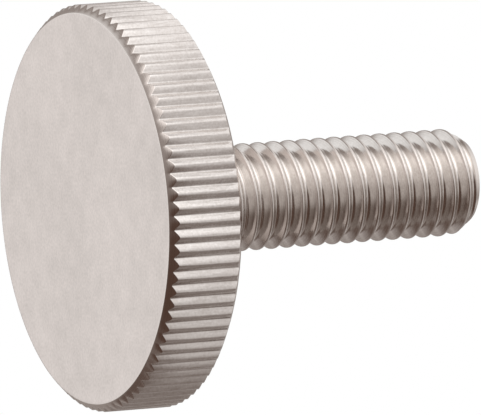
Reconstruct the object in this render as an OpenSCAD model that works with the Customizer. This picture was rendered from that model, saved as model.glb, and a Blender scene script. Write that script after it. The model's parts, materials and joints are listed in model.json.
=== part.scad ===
// Flat knurled thumb screw, turned from one stainless steel bar.
// It stands on the flat face of its head, with the threaded shank upright along +Z.
// The origin is the centre of that face. Lengths are in millimetres, angles in degrees.

/* [Head] */

// Diameter of the head over the knurl
head_d = 30; // [20:0.5:60]

// Thickness of the head
head_h = 6; // [4:0.25:12]

// Width of the chamfer around the flat face, measured across the radius
face_chamfer = 0.6; // [0.5:0.05:1.2]

// Slope of that chamfer, measured from the flat face
face_angle = 45; // [25:1:50]

// Width of the chamfer around the back of the head, where the shank is
back_chamfer = 0.85; // [0.5:0.05:1.2]

// Slope of that chamfer, measured from the back
back_angle = 33; // [25:1:50]

/* [Knurl] */

// Spacing of the straight teeth around the head
tooth_pitch = 1.06; // [0.7:0.01:2]

// Angle between the two flanks of a tooth
tooth_angle = 105; // [80:1:120]

// Width of the land left on top of each tooth
tooth_land = 0.15; // [0.04:0.01:0.3]

// Width of the flat at the bottom of each groove
groove_land = 0.05; // [0.02:0.01:0.2]

/* [Thread] */

// Nominal diameter of the thread
thread_d = 8; // [5:0.5:12]

// Advance of the thread in one turn
thread_pitch = 1.25; // [0.8:0.05:1.75]

// How far the crest's diameter stays under the nominal one
crest_allowance = 0.06; // [0.02:0.01:0.2]

// Length of the shank, from under the head to the tip
shank_l = 25; // [12:1:60]

// Direction around the axis in which the thread starts
thread_start = 335; // [0:5:355]

/* [Shank ends] */

// Length of the plain relief between the head and the thread
relief_l = 2.5; // [2:0.1:5]

// How far the relief lies below the root of the thread
relief_step = 0.2; // [0.1:0.05:0.5]

// How far the flat of the tip lies inside the root of the thread
tip_step = 0.1; // [0.05:0.05:0.5]

// Slope of the chamfers at both ends of the thread, measured from the axis
tip_angle = 35; // [30:1:60]

/* [Hidden] */

// Flat sides that stand for one full turn of a round face and of the thread
round_steps = 120;
thread_steps = 36;

// Overlap of solids that are joined, and room outside what a cut leaves whole
joint = 0.5;
clear = 0.5;

total_h = head_h + shank_l;

// Head: the chamfers run on outwards past the teeth
head_r = head_d / 2;
face_rise = (face_chamfer + clear) * tan(face_angle);
back_rise = (back_chamfer + clear) * tan(back_angle);

// Knurl: whole teeth around the head, with straight flanks between the two flats
tooth_count = round(PI * head_d / tooth_pitch);
tooth_turn = 360 / tooth_count;
tooth_width = PI * head_d / tooth_count;
tooth_depth = (tooth_width - tooth_land - groove_land) / 2 / tan(tooth_angle / 2);
land_turn = tooth_turn * tooth_land / tooth_width;
groove_turn = tooth_turn * groove_land / tooth_width;

// Thread: the metric form, as shares of one pitch
thread_angle = 60;
root_share = 1 / 6;
crest_share = 1 / 8;
flank_share = (1 - root_share - crest_share) / 2;
thread_depth = flank_share * thread_pitch / tan(thread_angle / 2);
crest_r = (thread_d - crest_allowance) / 2;
root_r = crest_r - thread_depth;
thread_form = [
    [0, root_r],
    [root_share, root_r],
    [root_share + flank_share, crest_r],
    [1 - flank_share, crest_r],
    [1, root_r],
];
corners = len(thread_form) - 1;

// Shank: the thread is longer than the shank at both ends, and is cut back to it
relief_r = root_r - relief_step;
tip_r = root_r - tip_step;
outer_r = crest_r + clear;
thread_l = shank_l + 2 * joint;
thread_lines = corners * (ceil(thread_l / thread_pitch) + 2);

// Radius of the thread at a share of the pitch
function thread_radius(share) = lookup(share - floor(share), thread_form);

// Height at which one corner line of the thread crosses a step around the axis
function line_z(line, step) =
    let (share = floor(line / corners) - 1 + thread_form[line % corners][0])
    min(thread_l, max(0, thread_pitch * (share + step / thread_steps)));

// Point of the thread at a step around the axis and a height
function thread_point(step, z) =
    let (r = thread_radius(z / thread_pitch - step / thread_steps))
    let (turn = 360 * step / thread_steps)
    [r * cos(turn), r * sin(turn), z];

// Index of a thread point; after a full turn each line carries on as the line one pitch up
function thread_index(line, step) =
    step < thread_steps
        ? step * (thread_lines + 1) + line
        : min(line + corners, thread_lines);

// Outline of the knurled head, four corners for each tooth
function knurl_outline() = [
    for (i = [0 : tooth_count - 1])
        let (middle = i * tooth_turn)
        each [
            polar(head_r, middle - land_turn / 2),
            polar(head_r, middle + land_turn / 2),
            polar(head_r - tooth_depth, middle + (tooth_turn - groove_turn) / 2),
            polar(head_r - tooth_depth, middle + (tooth_turn + groove_turn) / 2),
        ]
];

function polar(r, turn) = [r * cos(turn), r * sin(turn)];

// Disc with straight teeth all round and a chamfer at both edges
module knurled_head() {
    intersection() {
        linear_extrude(head_h)
            polygon(knurl_outline());
        rotate_extrude($fn = round_steps)
            polygon([
                [0, 0],
                [head_r - face_chamfer, 0],
                [head_r + clear, face_rise],
                [head_r + clear, head_h - back_rise],
                [head_r - back_chamfer, head_h],
                [0, head_h],
            ]);
    }
}

// Right-hand helical thread with its core, closed by a flat at each end
module thread_body() {
    steps = [0 : thread_steps - 1];
    surface = [
        for (step = steps)
            for (line = [0 : thread_lines])
                thread_point(step, line_z(line, step))
    ];
    base = len(surface);
    skin = [
        for (step = steps)
            for (line = [0 : thread_lines - 1])
                let (a = thread_index(line, step))
                let (b = thread_index(line, step + 1))
                let (c = thread_index(line + 1, step + 1))
                let (d = thread_index(line + 1, step))
                each [
                    if (surface[d].z > surface[a].z) [a, d, c],
                    if (surface[c].z > surface[b].z) [a, c, b],
                ]
    ];
    caps = [
        for (step = steps)
            each [
                [base, thread_index(0, step), thread_index(0, step + 1)],
                [base + 1, thread_index(thread_lines, step + 1), thread_index(thread_lines, step)],
            ]
    ];
    polyhedron(concat(surface, [[0, 0, 0], [0, 0, thread_l]]), concat(skin, caps));
}

// Shank: relief under the head, thread, and chamfered tip
module threaded_shank() {
    thread_base = head_h + relief_l;
    intersection() {
        translate([0, 0, head_h - joint])
            rotate([0, 0, thread_start])
                thread_body();
        rotate_extrude($fn = round_steps)
            polygon([
                [0, head_h - joint / 2],
                [relief_r, head_h - joint / 2],
                [relief_r, thread_base],
                [outer_r, thread_base + (outer_r - relief_r) / tan(tip_angle)],
                [outer_r, total_h - (outer_r - tip_r) / tan(tip_angle)],
                [tip_r, total_h],
                [0, total_h],
            ]);
    }
}

// The whole screw is one turned piece
module thumb_screw() {
    color("silver") {
        knurled_head();
        threaded_shank();
    }
}

thumb_screw();
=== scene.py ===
"""Looks of a flat knurled thumb screw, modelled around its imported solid."""

import json
import math

import bmesh
import bpy
from mathutils import Matrix, Vector


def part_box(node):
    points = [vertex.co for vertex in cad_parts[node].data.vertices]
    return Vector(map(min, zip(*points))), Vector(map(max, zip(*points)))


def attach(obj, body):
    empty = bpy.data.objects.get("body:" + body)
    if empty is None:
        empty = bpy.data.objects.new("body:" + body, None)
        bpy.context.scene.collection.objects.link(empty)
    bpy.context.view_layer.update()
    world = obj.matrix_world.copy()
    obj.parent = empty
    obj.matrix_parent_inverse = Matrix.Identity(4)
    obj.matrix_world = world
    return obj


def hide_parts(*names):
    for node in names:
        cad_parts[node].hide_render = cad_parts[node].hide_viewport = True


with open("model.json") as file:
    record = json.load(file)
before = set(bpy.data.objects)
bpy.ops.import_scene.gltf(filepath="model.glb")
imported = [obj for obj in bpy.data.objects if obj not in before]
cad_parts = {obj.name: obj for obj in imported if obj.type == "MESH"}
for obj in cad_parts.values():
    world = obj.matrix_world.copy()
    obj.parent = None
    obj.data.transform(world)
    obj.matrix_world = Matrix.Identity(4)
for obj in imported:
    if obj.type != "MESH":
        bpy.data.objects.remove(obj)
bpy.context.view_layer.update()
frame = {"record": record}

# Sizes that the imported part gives, in metres
MM = 0.001
NODE = "thumb_screw"
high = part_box(NODE)[1]
mounts = {mount["name"]: mount for mount in frame["record"]["mounts"]}
HEAD_R = high[0]
TOTAL_H = high[2]
HEAD_H = mounts["seat"]["pos_m"][2]
CREST_R = mounts["thread"]["dims"]["r_mm"] * MM

# Head: chamfered disc with straight teeth, each with a rounded top
FACE_CHAMFER = 0.6 * MM
FACE_SLOPE = math.tan(math.radians(45))
BACK_CHAMFER = 0.85 * MM
BACK_SLOPE = math.tan(math.radians(33))
TOOTH_COUNT = 89
TOOTH_PITCH = 2 * math.pi * HEAD_R / TOOTH_COUNT
TOOTH_SLOPE = math.tan(math.radians(40.5))
TOOTH_ROUND = 0.15 * MM
GROOVE_LAND = 0.06 * MM
TOOTH_POINTS = 24
FACE_EDGE = 0.05 * MM
TOOTH_EDGE = 0.025 * MM

# Thread: metric form, rolled with a well rounded root
THREAD_PITCH = 1.25 * MM
ROOT_SHARE = 1 / 6
CREST_SHARE = 1 / 8
FLANK_SHARE = (1 - ROOT_SHARE - CREST_SHARE) / 2
FLANK_SLOPE = math.tan(math.radians(30))
ROOT_R = CREST_R - FLANK_SHARE * THREAD_PITCH / FLANK_SLOPE
ROOT_ROUND = 0.25 * MM
CREST_ROUND = 0.05 * MM
THREAD_STEPS = 96
# Height at which a crest crosses the +X side, as a remainder of the pitch
THREAD_PHASE = 5.066 * MM

# Ends of the shank
RELIEF_L = 2.5 * MM
RELIEF_R = ROOT_R - 0.2 * MM
TIP_R = ROOT_R - 0.1 * MM
TIP_SLOPE = math.tan(math.radians(35))
ROUND_POINTS = 192
JOINT = 0.3 * MM
CLEAR = 0.5 * MM
# Points this close are at the same height or radius, or are one point
NEAR = 0.001 * MM
SAME = 0.0001 * MM

# A face whose normal leans this much to the axis is flat across it, or a slope
FLAT_LEAN = 0.99
SLOPE_LEAN = 0.5
SMOOTH_ANGLE = math.radians(35)

# Textures keep mostly between these values
TEXTURE_LOW = 0.3
TEXTURE_HIGH = 0.7

# Floor, just under the face of the head
FLOOR_SIZE = 2
FLOOR_GAP = 0.1 * MM


def select_parts(obj, kind, parts, wanted):
    """Selects the points, edges or faces of an object in edit mode that the test wants."""
    bpy.ops.mesh.select_mode(type=kind)
    bpy.ops.mesh.select_all(action="DESELECT")
    mesh = bmesh.from_edit_mesh(obj.data)
    for part in getattr(mesh, parts):
        if wanted(part):
            part.select_set(True)
    mesh.select_flush_mode()
    bmesh.update_edit_mesh(obj.data)


def select_points(obj, wanted):
    select_parts(obj, "VERT", "verts", wanted)


def select_edges(obj, wanted):
    select_parts(obj, "EDGE", "edges", wanted)


def select_faces(obj, wanted):
    select_parts(obj, "FACE", "faces", wanted)


def add_ring(name, radius, z, points):
    """Adds a circle of points and leaves it selected in edit mode."""
    bpy.ops.object.select_all(action="DESELECT")
    bpy.ops.mesh.primitive_circle_add(vertices=points, radius=radius, location=(0, 0, z))
    obj = bpy.context.object
    obj.name = name
    bpy.ops.object.transform_apply(location=True, rotation=True, scale=True)
    bpy.ops.object.mode_set(mode="EDIT")
    bpy.ops.mesh.select_all(action="SELECT")
    return obj


def grow_ring(rise, scale, z):
    """Extrudes the selected ring upwards to a height z and scales it about the axis."""
    bpy.ops.mesh.extrude_region_move(TRANSFORM_OT_translate={"value": (0, 0, rise)})
    bpy.ops.transform.resize(value=(scale, scale, 1), center_override=(0, 0, z))


def turned_solid(name, profile, points):
    """A closed solid of revolution from a list of (radius, height)."""
    radius, z = profile[0]
    obj = add_ring(name, radius, z, points)
    bpy.ops.mesh.edge_face_add()
    for next_radius, next_z in profile[1:]:
        grow_ring(next_z - z, next_radius / radius, next_z)
        radius = next_radius
        z = next_z
    bpy.ops.mesh.select_all(action="SELECT")
    bpy.ops.mesh.normals_make_consistent(inside=False)
    bpy.ops.object.mode_set(mode="OBJECT")
    return obj


def apply_modifier(obj, kind, **settings):
    """Adds a modifier with its settings and applies it."""
    bpy.ops.object.select_all(action="DESELECT")
    obj.select_set(True)
    bpy.context.view_layer.objects.active = obj
    modifier = obj.modifiers.new(kind.lower(), kind)
    for key, value in settings.items():
        setattr(modifier, key, value)
    bpy.ops.object.modifier_apply(modifier=modifier.name)


def combine(obj, other, operation):
    """Combines two closed solids into the first, closes its seams and removes the second."""
    apply_modifier(obj, "BOOLEAN", object=other, operation=operation, solver="EXACT")
    bpy.data.objects.remove(other)
    bpy.ops.object.mode_set(mode="EDIT")
    bpy.ops.mesh.select_all(action="SELECT")
    bpy.ops.mesh.remove_doubles(threshold=NEAR)
    bpy.ops.object.mode_set(mode="OBJECT")


def face_kind(face):
    """Flat across the axis, sloping, or along the axis."""
    lean = abs(face.normal.z)
    return "flat" if lean > FLAT_LEAN else "slope" if lean > SLOPE_LEAN else "side"


def tooth_radius(step):
    """Radius of the knurl at a point of a tooth, counted from the middle of the tooth."""
    across = min(step / TOOTH_POINTS * TOOTH_PITCH, (TOOTH_PITCH - GROOVE_LAND) / 2)
    return HEAD_R + TOOTH_ROUND - math.hypot(across * TOOTH_SLOPE, TOOTH_ROUND)


def tooth_step(vert):
    """Which point of a tooth this is, counted from the tooth's top to either side."""
    turn = math.atan2(vert.co.y, vert.co.x) * TOOTH_COUNT / (2 * math.pi)
    return round(abs(turn - round(turn)) * TOOTH_POINTS)


def shape_ring(obj, floor, scale, move):
    """Scales and lifts the ring of points above a floor, each point of the teeth by its own amount."""
    for step in range(TOOTH_POINTS // 2 + 1):
        select_points(obj, lambda vert: vert.co.z > floor and tooth_step(vert) == step)
        bpy.ops.transform.resize(value=(scale(step), scale(step), 1), center_override=(0, 0, 0))
        bpy.ops.transform.translate(value=(0, 0, move(step)))


def make_head():
    """Knurled disc: the face, its chamfer, the teeth, the back chamfer and the back."""
    face_r = HEAD_R - FACE_CHAMFER
    back_r = HEAD_R - BACK_CHAMFER
    lift = {"value": (0, 0, HEAD_H)}

    def front_z(step):
        return (tooth_radius(step) - face_r) * FACE_SLOPE

    def back_z(step):
        return HEAD_H - (tooth_radius(step) - back_r) * BACK_SLOPE

    obj = add_ring("head", face_r, 0, TOOTH_COUNT * TOOTH_POINTS)
    bpy.ops.mesh.edge_face_add()
    bpy.ops.mesh.extrude_region_move(TRANSFORM_OT_translate=lift)
    shape_ring(
        obj, HEAD_H / 2, lambda step: tooth_radius(step) / face_r,
        lambda step: front_z(step) - HEAD_H)
    select_points(obj, lambda vert: vert.co.z > NEAR)
    bpy.ops.mesh.extrude_region_move(TRANSFORM_OT_translate=lift)
    shape_ring(obj, HEAD_H, lambda step: 1, lambda step: back_z(step) - front_z(step) - HEAD_H)
    select_points(obj, lambda vert: vert.co.z > HEAD_H / 2)
    bpy.ops.mesh.extrude_region_move(TRANSFORM_OT_translate=lift)
    shape_ring(
        obj, HEAD_H, lambda step: back_r / tooth_radius(step), lambda step: -back_z(step))
    bpy.ops.mesh.select_all(action="SELECT")
    bpy.ops.mesh.normals_make_consistent(inside=False)
    # A ring inside each flat face keeps its shading flat up to the edge
    select_faces(obj, lambda face: face_kind(face) == "flat")
    bpy.ops.mesh.inset(thickness=FACE_EDGE * 4)
    # Softened edges: around both flat faces, and where the teeth run out into the chamfers
    select_edges(obj, lambda edge: {face_kind(face) for face in edge.link_faces} == {"flat", "slope"})
    bpy.ops.mesh.bevel(offset=FACE_EDGE, segments=2, affect="EDGES")
    select_edges(obj, lambda edge: {face_kind(face) for face in edge.link_faces} == {"slope", "side"})
    bpy.ops.mesh.bevel(offset=TOOTH_EDGE, segments=2, affect="EDGES")
    bpy.ops.object.mode_set(mode="OBJECT")
    return obj


def make_thread():
    """Helical thread with its core, longer than the shank and flat at both ends."""
    half_crest = CREST_SHARE * THREAD_PITCH / 2
    half_gap = THREAD_PITCH / 2 - half_crest
    vee_r = CREST_R - half_gap / FLANK_SLOPE
    below = math.floor((HEAD_H - THREAD_PHASE) / THREAD_PITCH - 1) * THREAD_PITCH
    ends = (THREAD_PHASE + below, THREAD_PHASE + below + THREAD_PITCH)
    profile = [
        (CREST_R, half_crest),
        (vee_r, half_gap),
        (CREST_R, half_gap),
        (CREST_R, half_crest),
    ]
    bpy.ops.object.select_all(action="DESELECT")
    bpy.ops.mesh.primitive_plane_add(size=MM, location=(CREST_R, 0, ends[0]))
    obj = bpy.context.object
    obj.name = "thread"
    bpy.ops.object.transform_apply(location=True, rotation=True, scale=True)
    bpy.ops.object.mode_set(mode="EDIT")
    bpy.ops.mesh.select_mode(type="VERT")
    bpy.ops.mesh.select_all(action="SELECT")
    bpy.ops.mesh.merge(type="CENTER")
    radius = CREST_R
    for next_radius, rise in profile:
        bpy.ops.mesh.extrude_region_move(
            TRANSFORM_OT_translate={"value": (next_radius - radius, 0, rise)})
        radius = next_radius
    select_points(obj, lambda vert: vert.co.x > CREST_R - NEAR and min(
        abs(vert.co.z - z) for z in ends) > NEAR)
    bpy.ops.mesh.bevel(offset=CREST_ROUND, segments=3, affect="VERTICES")
    select_points(obj, lambda vert: vert.co.x < vee_r + NEAR)
    bpy.ops.mesh.bevel(offset=ROOT_ROUND / FLANK_SLOPE, segments=10, affect="VERTICES")
    bpy.ops.object.mode_set(mode="OBJECT")
    turns = math.ceil((TOTAL_H - ends[0]) / THREAD_PITCH) + 1
    apply_modifier(
        obj, "SCREW", axis="Z", angle=2 * math.pi, screw_offset=THREAD_PITCH, iterations=turns,
        steps=THREAD_STEPS, render_steps=THREAD_STEPS, use_merge_vertices=True, merge_threshold=SAME)
    bpy.ops.object.mode_set(mode="EDIT")
    bpy.ops.mesh.select_all(action="SELECT")
    bpy.ops.mesh.remove_doubles(threshold=SAME)
    bpy.ops.mesh.bisect(
        plane_co=(0, 0, HEAD_H - JOINT), plane_no=(0, 0, 1), threshold=SAME,
        use_fill=True, clear_inner=True)
    bpy.ops.mesh.select_all(action="SELECT")
    bpy.ops.mesh.bisect(
        plane_co=(0, 0, TOTAL_H + JOINT), plane_no=(0, 0, 1), threshold=SAME,
        use_fill=True, clear_outer=True)
    bpy.ops.mesh.select_all(action="SELECT")
    bpy.ops.mesh.normals_make_consistent(inside=False)
    bpy.ops.object.mode_set(mode="OBJECT")
    return obj


def make_shank():
    """Thread cut back to the relief under the head and to the chamfered tip."""
    outer_r = CREST_R + CLEAR
    thread_base = HEAD_H + RELIEF_L
    envelope = turned_solid("envelope", [
        (RELIEF_R, HEAD_H - JOINT / 2),
        (RELIEF_R, thread_base),
        (outer_r, thread_base + (outer_r - RELIEF_R) / TIP_SLOPE),
        (outer_r, TOTAL_H - (outer_r - TIP_R) / TIP_SLOPE),
        (TIP_R, TOTAL_H),
    ], ROUND_POINTS)
    shank = make_thread()
    combine(shank, envelope, "INTERSECT")
    return shank


def add_node(tree, kind, settings=None, **inputs):
    """Adds a node and sets or links its inputs, by name or, as i0 and so on, by place."""
    node = tree.nodes.new(kind)
    for key, value in (settings or {}).items():
        setattr(node, key, value)
    for key, value in inputs.items():
        place = key[1:]
        socket = node.inputs[int(place)] if place.isdigit() else node.inputs[key.replace("_", " ")]
        if isinstance(value, bpy.types.NodeSocket):
            tree.links.new(value, socket)
        else:
            socket.default_value = value
    return node


def math_node(tree, operation, first, second=0.0):
    """Result of one sum on values."""
    return add_node(tree, "ShaderNodeMath", {"operation": operation}, i0=first, i1=second).outputs[0]


def noise(tree, place, scale, detail):
    """Fine cloudy texture on coordinates in metres."""
    node = add_node(tree, "ShaderNodeTexNoise", Vector=place, Scale=scale, Detail=detail)
    return node.outputs["Fac"]


def mixture(tree, first, second, share):
    """Two textures together, with a share of the first."""
    first_part = math_node(tree, "MULTIPLY", first, share)
    return math_node(tree, "ADD", first_part, math_node(tree, "MULTIPLY", second, 1 - share))


def texture_group(name, build):
    """A shared group whose one output is a texture between 0 and 1, on Object coordinates."""
    group = bpy.data.node_groups.new(name, "ShaderNodeTree")
    group.interface.new_socket("Texture", in_out="OUTPUT", socket_type="NodeSocketFloat")
    place = add_node(group, "ShaderNodeTexCoord").outputs["Object"]
    split = add_node(group, "ShaderNodeSeparateXYZ", Vector=place).outputs
    value = build(group, place, split["X"], split["Y"], split["Z"])
    add_node(group, "NodeGroupOutput", Texture=value)
    return group


def from_axis(tree, x, y):
    """Distance of a place from the screw's axis."""
    x_square = math_node(tree, "MULTIPLY", x, x)
    y_square = math_node(tree, "MULTIPLY", y, y)
    return math_node(tree, "SQRT", math_node(tree, "ADD", x_square, y_square))


def blasted_grain(tree, place, x, y, z):
    """Grain of a satin flat: broad cloudy patches, smaller spots and fine pits."""
    patches = mixture(tree, noise(tree, place, 90, 2), noise(tree, place, 600, 3), 0.5)
    return mixture(tree, patches, noise(tree, place, 4500, 2), 0.6)


def turned_lines(tree, place, x, y, z):
    """Fine rings around the axis, as a turning tool leaves them."""
    rings = add_node(tree, "ShaderNodeCombineXYZ", X=from_axis(tree, x, y), Y=z).outputs["Vector"]
    return noise(tree, rings, 14000, 2)


def rolled_streaks(tree, place, x, y, z):
    """Streaks along the teeth, broken by specks, as a knurling wheel leaves them."""
    flat_z = math_node(tree, "MULTIPLY", z, 0.15)
    stretched = add_node(tree, "ShaderNodeCombineXYZ", X=x, Y=y, Z=flat_z).outputs["Vector"]
    return mixture(tree, noise(tree, stretched, 7000, 2), noise(tree, place, 5000, 3), 0.5)


def thread_lines(tree, place, x, y, z):
    """Lines that run along the thread, and small nicks."""
    turn = math_node(tree, "ARCTAN2", y, x)
    rise = math_node(tree, "MULTIPLY", z, 2 * math.pi / THREAD_PITCH)
    climb = math_node(tree, "SUBTRACT", rise, turn)
    across = add_node(
        tree, "ShaderNodeCombineXYZ",
        X=math_node(tree, "MULTIPLY", from_axis(tree, x, y), 1 / THREAD_PITCH),
        Y=math_node(tree, "MULTIPLY", math_node(tree, "COSINE", climb), 0.3),
        Z=math_node(tree, "MULTIPLY", math_node(tree, "SINE", climb), 0.3)).outputs["Vector"]
    return mixture(tree, noise(tree, across, 18, 2), noise(tree, place, 5000, 3), 0.6)


def steel(name, group, darkest, lightest, smooth, rough, relief):
    """Steel whose colour, roughness and surface follow a shared texture."""
    material = bpy.data.materials.new(name)
    material.use_nodes = True
    tree = material.node_tree
    shader = tree.nodes["Principled BSDF"]
    shader.inputs["Metallic"].default_value = 1
    texture = add_node(tree, "ShaderNodeGroup", {"node_tree": group}).outputs["Texture"]
    ramp = add_node(tree, "ShaderNodeValToRGB", Fac=texture)
    start, end = ramp.color_ramp.elements
    start.position = TEXTURE_LOW
    start.color = (*darkest, 1)
    end.position = TEXTURE_HIGH
    end.color = (*lightest, 1)
    tree.links.new(ramp.outputs["Color"], shader.inputs["Base Color"])
    polish = add_node(
        tree, "ShaderNodeMapRange", Value=texture, From_Min=TEXTURE_LOW, From_Max=TEXTURE_HIGH,
        To_Min=smooth, To_Max=rough)
    tree.links.new(polish.outputs["Result"], shader.inputs["Roughness"])
    bump = add_node(tree, "ShaderNodeBump", Strength=1.0, Distance=relief, Height=texture)
    tree.links.new(bump.outputs["Normal"], shader.inputs["Normal"])
    return material


grain = texture_group("blasted_grain", blasted_grain)
rings = texture_group("turned_lines", turned_lines)
streaks = texture_group("rolled_streaks", rolled_streaks)
helix = texture_group("thread_lines", thread_lines)
FINISHES = {
    "face": steel(
        "satin_face", grain, darkest=(0.59, 0.54, 0.51), lightest=(0.86, 0.79, 0.755),
        smooth=0.33, rough=0.41, relief=0.002 * MM),
    "back": steel(
        "turned_back", rings, darkest=(0.62, 0.57, 0.545), lightest=(0.80, 0.74, 0.705),
        smooth=0.28, rough=0.36, relief=0.003 * MM),
    "chamfer": steel(
        "turned_edge", rings, darkest=(0.64, 0.59, 0.56), lightest=(0.77, 0.715, 0.68),
        smooth=0.16, rough=0.22, relief=0.002 * MM),
    "knurl": steel(
        "rolled_teeth", streaks, darkest=(0.64, 0.605, 0.58), lightest=(0.86, 0.84, 0.825),
        smooth=0.12, rough=0.23, relief=0.006 * MM),
    "thread": steel(
        "rolled_thread", helix, darkest=(0.64, 0.60, 0.57), lightest=(0.84, 0.81, 0.785),
        smooth=0.12, rough=0.21, relief=0.003 * MM),
    "tip": steel(
        "turned_tip", rings, darkest=(0.64, 0.60, 0.57), lightest=(0.82, 0.785, 0.755),
        smooth=0.14, rough=0.22, relief=0.003 * MM),
}


def finish_of(polygon):
    """Which finish a face of the screw has, by its place and the way it looks."""
    radius = math.hypot(polygon.center.x, polygon.center.y)
    z = polygon.center.z
    if z < NEAR or (z < HEAD_H + NEAR and radius > RELIEF_R - NEAR):
        flat = "face" if z < NEAR else "back"
        return {"flat": flat, "slope": "chamfer", "side": "knurl"}[face_kind(polygon)]
    at_tip = radius > TIP_R + (TOTAL_H - z) * TIP_SLOPE - 5 * NEAR or z > TOTAL_H - NEAR
    return "tip" if at_tip or radius < RELIEF_R + NEAR else "thread"


screw = make_head()
combine(screw, make_shank(), "UNION")
screw.name = "turned_screw"
for finish in FINISHES.values():
    screw.data.materials.append(finish)
for polygon in screw.data.polygons:
    polygon.material_index = list(FINISHES).index(finish_of(polygon))
bpy.ops.object.select_all(action="DESELECT")
screw.select_set(True)
bpy.context.view_layer.objects.active = screw
bpy.ops.object.shade_smooth_by_angle(angle=SMOOTH_ANGLE)
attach(screw, "root")
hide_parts(NODE)

# Camera: the photograph's view, looking at the face of the head with the shank pointing right and away
VIEW_TILT = math.radians(64.31)
VIEW_ROLL = math.radians(4.21)
VIEW_TURN = math.radians(-0.96)
VIEW_DISTANCE = 1.1743
AIM_DOWN = 0.75 * MM
AIM_ALONG = 12.74 * MM
PICTURE_W = 481
PIXELS_PER_M = 13563
axis = Vector((0, 0, 1))
near = Vector((math.sin(VIEW_TURN), -math.cos(VIEW_TURN), 0))
down = axis.cross(near)
along = axis * math.sin(VIEW_TILT) + near * math.cos(VIEW_TILT)
away = axis * math.cos(VIEW_TILT) - near * math.sin(VIEW_TILT)
right = along * math.cos(VIEW_ROLL) + down * math.sin(VIEW_ROLL)
up = along * math.sin(VIEW_ROLL) - down * math.cos(VIEW_ROLL)
camera_data = bpy.data.cameras.new("camera")
camera_data.sensor_width = 36
camera_data.lens = PIXELS_PER_M * VIEW_DISTANCE / PICTURE_W * camera_data.sensor_width
camera_data.clip_start = 0.01
camera_data.clip_end = 100
camera = bpy.data.objects.new("camera", camera_data)
bpy.context.collection.objects.link(camera)
aim = down * AIM_DOWN + axis * AIM_ALONG
camera.matrix_world = (
    Matrix.Translation(aim - away * VIEW_DISTANCE) @ Matrix((right, up, -away)).transposed().to_4x4())
scene = bpy.context.scene
scene.camera = camera
scene.view_settings.view_transform = "Standard"

# Studio: a pale warm room with dark parts below, soft lights, and white paper around the object
world = bpy.data.worlds.new("studio")
scene.world = world
world.use_nodes = True
tree = world.node_tree
direction = add_node(tree, "ShaderNodeTexCoord").outputs["Generated"]
toward = -away


def soft_patch(vector, edge, full, level):
    """Value around a direction, from nothing at its soft edge to its full level."""
    dot = add_node(
        tree, "ShaderNodeVectorMath", {"operation": "DOT_PRODUCT"},
        i0=direction, i1=vector.normalized())
    share = add_node(
        tree, "ShaderNodeMapRange", {"interpolation_type": "SMOOTHSTEP"},
        Value=dot.outputs["Value"], From_Min=edge, From_Max=full, To_Max=level)
    return share.outputs["Result"]


lights = [
    # Above the camera, to the right and to the left
    soft_patch(right * 0.35 + up * 0.8 + toward, 0.7, 1.0, 0.7),
    soft_patch(up - right * 0.25 + toward * 0.7, 0.72, 1.0, 1.0),
    # Wide, on the upper right behind the screw
    soft_patch(right + up * 0.9 - toward * 0.4, 0.52, 1.0, 0.77),
    # Faint, on the right beside the camera
    soft_patch(right - up * 0.1 + toward * 0.65, 0.8, 1.0, 0.32),
    # Small, low behind the screw, on the right and on the left
    soft_patch(right * 0.6 - up * 0.5 - toward * 0.6, 0.95, 0.99, 0.6),
    soft_patch(-right * 0.75 - up * 0.38 - toward * 0.54, 0.93, 1.0, 0.25),
]
glow = lights[0]
for light in lights[1:]:
    glow = math_node(tree, "ADD", glow, light)
shades = [
    # Below the camera, then low on the left and below on the right
    soft_patch(toward - up * 0.95 - right * 0.3, 0.47, 0.82, 1.0),
    soft_patch(-right * 0.6 - up * 0.7 - toward * 0.35, 0.91, 0.975, 0.85),
    soft_patch(right * 0.35 - up * 0.9 - toward * 0.2, 0.8, 0.95, 0.4),
]
dark_side = shades[0]
for shade in shades[1:]:
    dark_side = math_node(tree, "MAXIMUM", dark_side, shade)
walls = add_node(tree, "ShaderNodeValToRGB", Fac=dark_side)
walls.color_ramp.elements[0].color = (0.36, 0.32, 0.30, 1)
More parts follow.
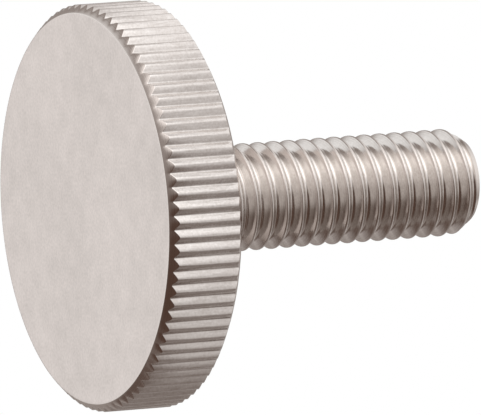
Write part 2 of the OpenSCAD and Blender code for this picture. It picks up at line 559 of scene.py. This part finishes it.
walls.color_ramp.elements[1].color = (0.10, 0.06, 0.045, 1)
room = tree.nodes["Background"]
tree.links.new(walls.outputs["Color"], room.inputs["Color"])
lamps = add_node(tree, "ShaderNodeBackground", Color=(1, 1, 1, 1), Strength=glow)
studio = add_node(tree, "ShaderNodeAddShader", i0=room.outputs[0], i1=lamps.outputs[0])
# The camera sees white paper all round, and the metal shows it where it stands, behind and to the left
backdrop = add_node(tree, "ShaderNodeBackground", Color=(1, 1, 1, 1))
paper_side = soft_patch(up * 0.12 - right - toward * 0.32, 0.72, 0.92, 1.0)
ray = add_node(tree, "ShaderNodeLightPath").outputs
mirrored = math_node(tree, "MAXIMUM", ray["Is Glossy Ray"], ray["Is Transmission Ray"])
in_paper = math_node(tree, "MULTIPLY", mirrored, paper_side)
seen = math_node(tree, "MAXIMUM", ray["Is Camera Ray"], in_paper)
view = add_node(tree, "ShaderNodeMixShader", i0=seen, i1=studio.outputs[0], i2=backdrop.outputs[0])
tree.links.new(view.outputs[0], tree.nodes["World Output"].inputs["Surface"])

# Floor: pale, under the screw, and seen from above only
bpy.ops.object.select_all(action="DESELECT")
bpy.ops.mesh.primitive_plane_add(size=FLOOR_SIZE, location=(0, 0, -FLOOR_GAP))
floor = bpy.context.object
floor.name = "floor"
bpy.ops.object.transform_apply(location=True, rotation=True, scale=True)
floor.visible_diffuse = False
floor.visible_glossy = False
floor.visible_transmission = False
floor.visible_shadow = False
paper = bpy.data.materials.new("pale_floor")
paper.use_nodes = True
tree = paper.node_tree
shader = tree.nodes["Principled BSDF"]
shader.inputs["Base Color"].default_value = (0.9, 0.9, 0.9, 1)
shader.inputs["Roughness"].default_value = 0.9
clear = add_node(tree, "ShaderNodeBsdfTransparent")
from_below = add_node(tree, "ShaderNodeNewGeometry").outputs["Backfacing"]
mix = add_node(tree, "ShaderNodeMixShader", i0=from_below, i1=shader.outputs[0], i2=clear.outputs[0])
tree.links.new(mix.outputs[0], tree.nodes["Material Output"].inputs["Surface"])
floor.data.materials.append(paper)
